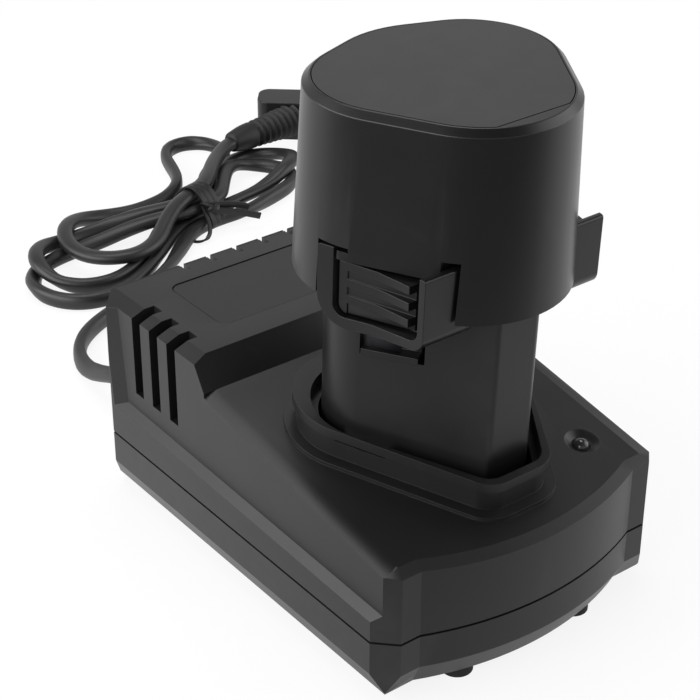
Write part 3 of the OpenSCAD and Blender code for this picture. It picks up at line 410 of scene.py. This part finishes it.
# outline is the band's loop around the bundle, as sideways and height from its middle line on the floor.
tie = {
    "at": (51, 146.8), "turn": 13, "turns": 3, "pitch": 1.9, "width": 1.9, "thickness": 0.6,
    "knotThickness": 0.9, "tailThickness": 0.7, "loopWidth": 1.2, "perSpan": 5, "around": 10, "smoothAngle": 60,
    "outline": [(-4.6, 0.35), (0, 0.3), (4.6, 0.35), (7.8, 0.9), (8.1, 3.2), (6.4, 6.4), (4.2, 9.6), (1.6, 11.9),
                (-1.6, 11.9), (-4.2, 9.6), (-6.4, 6.4), (-8.1, 3.2), (-7.8, 0.9)],
    "knot": [(50, 142.4, 8.4), (50.8, 140.6, 8.2), (52.2, 139.9, 7.4), (53, 140.4, 6.2), (52.4, 141.2, 5.4),
             (51, 140.8, 5.8), (50.6, 140, 7), (51.8, 139.2, 7.8), (53.4, 139.2, 7.2)],
    "tails": [
        [(51.4, 140.6, 7.6), (53.8, 139.6, 7.8), (56.6, 138.6, 7.4), (59.6, 138.0, 6.6), (62.2, 137.2, 5.4)],
        [(51.6, 140.2, 6.6), (54, 138.4, 6.2), (57.2, 136.8, 5.6), (60.6, 135.2, 4.6), (63.6, 133.6, 3.6)],
    ],
    "loop": [(49.6, 141.6, 7.6), (49.6, 139.8, 5.6), (49.2, 137.6, 3.6), (48, 135.6, 2), (46, 134.6, 1),
             (43.6, 135.4, 0.7), (42.6, 137.6, 0.6)],
}


def makeTie():
    turn = math.radians(tie["turn"])
    along = Vector((math.cos(turn), math.sin(turn), 0))
    across = Vector((-math.sin(turn), math.cos(turn), 0))
    middle = Vector((*tie["at"], 0))
    count = len(tie["outline"]) * tie["turns"]
    wrap = []
    for i in range(count + 1):
        sideways, height = tie["outline"][i % len(tie["outline"])]
        lean = (i / count - 0.5) * tie["pitch"] * tie["turns"]
        wrap.append(middle + along * lean + across * sideways + Vector((0, 0, height)))
    bands = [(wrap, tie["width"], tie["thickness"], along, 4),
             (tie["knot"], tie["width"], tie["knotThickness"], along, 4)]
    bands += [(tail, tie["width"], tie["tailThickness"], Vector((0, 0, 1)), 5) for tail in tie["tails"]]
    bands.append((tie["loop"], tie["loopWidth"], tie["thickness"], along, 4))
    bm = bmesh.new()
    for points, width, thickness, wideAxis, flatness in bands:
        line = smoothRoute(points, tie["perSpan"])
        sweepOval(bm, line, width, thickness, tie["around"], wideAxis, flatness)
    piece = finishMesh("wireTie", bm, tiePlastic, tie["smoothAngle"])
    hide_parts("cord_tie")
    return piece


wireTie = makeTie()

# A soft boot with a smooth cuff and then rings, from the cord's end into the plug.
boot = {
    "start": (80, 172, 7.6), "heading": 10, "dip": 2, "length": 31, "cuff": 8.4, "rings": 9, "pitch": 2.2,
    "ringDepth": 0.24, "radiusStart": 2.9, "radiusCuff": 4, "radiusEnd": 5.5, "lip": 0.6, "lipShare": 0.86,
    "steps": 190, "around": 28, "smoothAngle": 60,
}


def makeBoot():
    heading, dip = math.radians(boot["heading"]), math.radians(boot["dip"])
    ahead = Vector((math.cos(dip) * math.cos(heading), math.cos(dip) * math.sin(heading), -math.sin(dip)))
    line, scales = [], []
    for i in range(boot["steps"] + 1):
        s = boot["length"] * i / boot["steps"]
        onCuff = min(1, s / boot["cuff"])
        pastCuff = max(0, s - boot["cuff"]) / (boot["length"] - boot["cuff"])
        radius = boot["radiusStart"] + (boot["radiusCuff"] - boot["radiusStart"]) * math.sin(onCuff * math.pi / 2)
        radius += (boot["radiusEnd"] - boot["radiusCuff"]) * pastCuff
        step = (s - boot["cuff"]) / boot["pitch"]
        if 0 < step < boot["rings"]:
            radius *= 1 - boot["ringDepth"] * (0.5 - 0.5 * math.cos(2 * math.pi * step)) ** 0.6
        if s < boot["lip"]:
            radius *= boot["lipShare"] + (1 - boot["lipShare"]) * math.sin(s / boot["lip"] * math.pi / 2)
        line.append(Vector(boot["start"]) + ahead * s)
        scales.append(radius)
    bm = bmesh.new()
    sweepOval(bm, line, 2, 2, boot["around"], Vector((0, 0, 1)), 2, scales)
    piece = finishMesh("plugBoot", bm, bootPlastic, boot["smoothAngle"])
    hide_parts("plug_relief")
    return piece


plugBoot = makeBoot()
print("cord, tie and boot made")


dressing = {"mergeGap": 0.004, "flatAngle": 0.4, "neckGap": 0.05, "neckMerge": 0.06, "smoothAngle": 35}


def joinFlats(bm):
    bmesh.ops.dissolve_limit(bm, angle_limit=math.radians(dressing["flatAngle"]), verts=bm.verts, edges=bm.edges,
                             delimit={"NORMAL"})


# A merged copy of a CAD node's mesh, with flat areas joined into single faces.
def copyNode(name):
    bm = bmesh.new()
    bm.from_mesh(nodes[name].data)
    bmesh.ops.remove_doubles(bm, verts=bm.verts, dist=dressing["mergeGap"] * mm)
    joinFlats(bm)
    bmesh.ops.recalc_face_normals(bm, faces=bm.faces)
    return bm


# Joins a corner to a far side of its own face where the two all but touch, so that rounding stays clean.
def closeNecks(bm):
    reach = dressing["neckGap"] * mm
    cuts = {}
    for face in bm.faces:
        if len(face.verts) < 5:
            continue
        for edge in face.edges:
            start, end = edge.verts[0].co, edge.verts[1].co
            span = end - start
            for vert in face.verts:
                if vert in edge.verts:
                    continue
                t = (vert.co - start).dot(span) / span.length_squared
                if 0.002 < t < 0.998 and (start + span * t - vert.co).length < reach:
                    cuts[edge] = (edge.verts[0], t)
    for edge, (vert, t) in cuts.items():
        bmesh.utils.edge_split(edge, vert, t)
    if cuts:
        bmesh.ops.triangulate(bm, faces=[f for f in bm.faces if len(f.verts) > 4])
        bmesh.ops.remove_doubles(bm, verts=bm.verts, dist=dressing["neckMerge"] * mm)
        joinFlats(bm)
    return len(cuts)


# Edges that turn by more than the angle and whose middle, in millimetres, passes the test.
def sharpEdges(bm, angle, test=None):
    picked = []
    for edge in bm.edges:
        if len(edge.link_faces) != 2 or edge.calc_face_angle(0) < math.radians(angle):
            continue
        middle = (edge.verts[0].co + edge.verts[1].co) / (2 * mm)
        if test is None or test(middle):
            picked.append(edge)
    return picked


def roundEdges(bm, edges, offset, segments=3):
    bmesh.ops.bevel(bm, geom=edges, offset=offset * mm, offset_type="OFFSET", affect="EDGES", segments=segments,
                    profile=0.5, material=-1, clamp_overlap=True, loop_slide=False)


# Each round gives the least angle of an edge, its rounding in millimetres, the segments and a test of place.
def dress(name, pieceName, material, body, rounds):
    bm = copyNode(name)
    print(pieceName, "necks closed", closeNecks(bm))
    for angle, offset, segments, test in rounds:
        roundEdges(bm, sharpEdges(bm, angle, test), offset, segments)
    piece = finishMesh(pieceName, bm, material, dressing["smoothAngle"], body)
    weightNormals(piece)
    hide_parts(name)
    return piece


deck = {"frontY": -47, "z": 31.05, "tilt": 9.5}
outside = {"x": 33.9, "rearY": 52, "frontY": -45, "belowDeck": 1.2}
rearPads = {"x": 17.6, "y": 49, "z": 44}
battery = {"y": -19, "z": 35, "lean": 2, "top": 77.9, "rim": 1.8}


def deckHeight(y):
    return deck["z"] + (y - deck["frontY"]) * math.tan(math.radians(deck["tilt"]))


def onOutside(p):
    onWall = abs(p.x) > outside["x"] or p.y > outside["rearY"] or p.y < outside["frontY"]
    return onWall or p.z > deckHeight(p.y) - outside["belowDeck"]


def onRearPads(p):
    return abs(p.x) < rearPads["x"] and p.y > rearPads["y"] and p.z > rearPads["z"]


def onHousing(p):
    return onOutside(p) and not onRearPads(p)


# Height above the battery's own frame, along its lean.
def alongBattery(p):
    lean = math.radians(battery["lean"])
    return math.cos(lean) * (p.z - battery["z"]) - math.sin(lean) * (p.y - battery["y"])


def onHeadTop(p):
    return alongBattery(p) > battery["top"] - battery["rim"]


def belowHeadTop(p):
    return not onHeadTop(p)


plugShell = dress("plug_body", "plugShell", housingPlastic, "charger", [(50, 2.2, 4, None)])
leadBoot = dress("strain_relief", "leadBoot", bootPlastic, "charger", [(30, 0.3, 2, None)])
lowerHousing = dress("bottom_shell", "lowerHousing", housingPlastic, "charger",
                     [(18, 0.35, 3, onOutside)])
upperHousing = dress("top_shell", "upperHousing", housingPlastic, "charger",
                     [(18, 0.35, 3, onHousing), (40, 0.8, 4, onRearPads)])
labelPlate = dress("label_plate", "labelPlate", platePlastic, "charger", [(40, 0.16, 2, None)])
batteryCap = dress("battery_head", "batteryCap", batteryPlastic, "battery",
                   [(20, 0.62, 4, onHeadTop), (30, 0.3, 3, belowHeadTop)])
batteryGrip = dress("battery_stem", "batteryGrip", stemPlastic, "battery", [(35, 0.3, 2, None)])
leftLatch = dress("latch_left", "leftLatch", batteryPlastic, "latch_left",
                  [(30, 0.3, 3, None)])
rightLatch = dress("latch_right", "rightLatch", batteryPlastic, "latch_right",
                   [(30, 0.3, 3, None)])

print("pieces dressed")


# 1 for rays that should see the pale surroundings rather than their light.
def seenRays(tree):
    rays = tree.nodes.new("ShaderNodeLightPath")
    seen = mathNode(tree, "MAXIMUM", rays.outputs["Is Camera Ray"], rays.outputs["Is Glossy Ray"])
    return mathNode(tree, "MAXIMUM", seen, rays.outputs["Is Transmission Ray"])


# Near the object the floor is partly its own colour, so that it keeps a faint shadow. Toward the front it is
# dimmer in reflections. Distances are in metres.
floorLook = {"size": 3, "near": 0.12, "far": 0.34, "nearWhite": 0.86, "color": (0.9, 0.9, 0.9),
             "front": (-0.61, -0.79, 0), "frontSpan": (0, 0.16), "frontWhite": (1, 0.2)}


def makeFloor():
    bm = bmesh.new()
    bmesh.ops.create_grid(bm, x_segments=2, y_segments=2, size=floorLook["size"])
    mesh = bpy.data.meshes.new("floor")
    bm.to_mesh(mesh)
    bm.free()
    floor = bpy.data.objects.new("floor", mesh)
    bpy.context.scene.collection.objects.link(floor)
    material, tree, shader, position = newMaterial("paleFloor")
    shader.inputs["Base Color"].default_value = (*floorLook["color"], 1)
    shader.inputs["Roughness"].default_value = 0.9
    white = tree.nodes.new("ShaderNodeEmission")
    forward = addNode(tree, "ShaderNodeVectorMath", operation="DOT_PRODUCT")
    forward.inputs[1].default_value = floorLook["front"]
    tree.links.new(position, forward.inputs[0])
    dimmed = rangeNode(tree, forward.outputs["Value"], floorLook["frontSpan"], floorLook["frontWhite"])
    rays = tree.nodes.new("ShaderNodeLightPath")
    tree.links.new(mathNode(tree, "MAXIMUM", dimmed, rays.outputs["Is Camera Ray"]), white.inputs["Strength"])
    distance = addNode(tree, "ShaderNodeVectorMath", operation="LENGTH")
    tree.links.new(position, distance.inputs[0])
    share = rangeNode(tree, distance.outputs["Value"], (floorLook["near"], floorLook["far"]),
                      (floorLook["nearWhite"], 1))
    mix = tree.nodes.new("ShaderNodeMixShader")
    tree.links.new(mathNode(tree, "MULTIPLY", seenRays(tree), share), mix.inputs[0])
    tree.links.new(shader.outputs[0], mix.inputs[1])
    tree.links.new(white.outputs[0], mix.inputs[2])
    tree.links.new(mix.outputs[0], tree.nodes["Material Output"].inputs["Surface"])
    mesh.materials.append(material)


# In reflections the room is pale at eye level and dark toward its ceiling. height is a direction's z.
worldLook = {"soft": 0.22, "softColor": (0.98, 0.98, 1, 1), "height": (0.5, 0.7), "white": (0.75, 0.06)}


def makeWorld():
    world = bpy.data.worlds.new("studio")
    world.use_nodes = True
    bpy.context.scene.world = world
    tree = world.node_tree
    soft = tree.nodes["Background"]
    soft.inputs["Color"].default_value = worldLook["softColor"]
    soft.inputs["Strength"].default_value = worldLook["soft"]
    white = tree.nodes.new("ShaderNodeBackground")
    white.inputs["Color"].default_value = (1, 1, 1, 1)
    rays = tree.nodes.new("ShaderNodeLightPath")
    place = tree.nodes.new("ShaderNodeTexCoord")
    split = tree.nodes.new("ShaderNodeSeparateXYZ")
    tree.links.new(place.outputs["Generated"], split.inputs[0])
    ceiling = rangeNode(tree, split.outputs["Z"], worldLook["height"], worldLook["white"])
    tree.links.new(mathNode(tree, "MAXIMUM", ceiling, rays.outputs["Is Camera Ray"]), white.inputs["Strength"])
    mix = tree.nodes.new("ShaderNodeMixShader")
    tree.links.new(seenRays(tree), mix.inputs[0])
    tree.links.new(soft.outputs[0], mix.inputs[1])
    tree.links.new(white.outputs[0], mix.inputs[2])
    tree.links.new(mix.outputs[0], tree.nodes["World Output"].inputs["Surface"])


def softLight(name, place, target, size, power):
    lamp = bpy.data.lights.new(name, "AREA")
    lamp.shape = "RECTANGLE"
    lamp.size, lamp.size_y = size
    lamp.energy = power
    holder = bpy.data.objects.new(name, lamp)
    bpy.context.scene.collection.objects.link(holder)
    holder.location = place
    aim = Vector(target) - Vector(place)
    holder.rotation_euler = aim.to_track_quat("-Z", "Y").to_euler()


makeFloor()
makeWorld()
# Each lamp's place, what it points at, its width and height, and its power in watts.
lamps = {
    "leftSoft": ((-0.9, 0.15, 0.45), (0, 0, 0.05), (1.6, 0.85), 16),
    "rightSoft": ((0.8, -0.4, 0.4), (0, 0, 0.06), (0.8, 1), 4.5),
    "topSoft": ((0.05, 0.3, 1.1), (0, 0.03, 0.03), (0.9, 0.7), 7),
}
for name, (place, target, size, power) in lamps.items():
    softLight(name, place, target, size, power)

bpy.context.scene.view_settings.view_transform = "Standard"

print("scene ready")
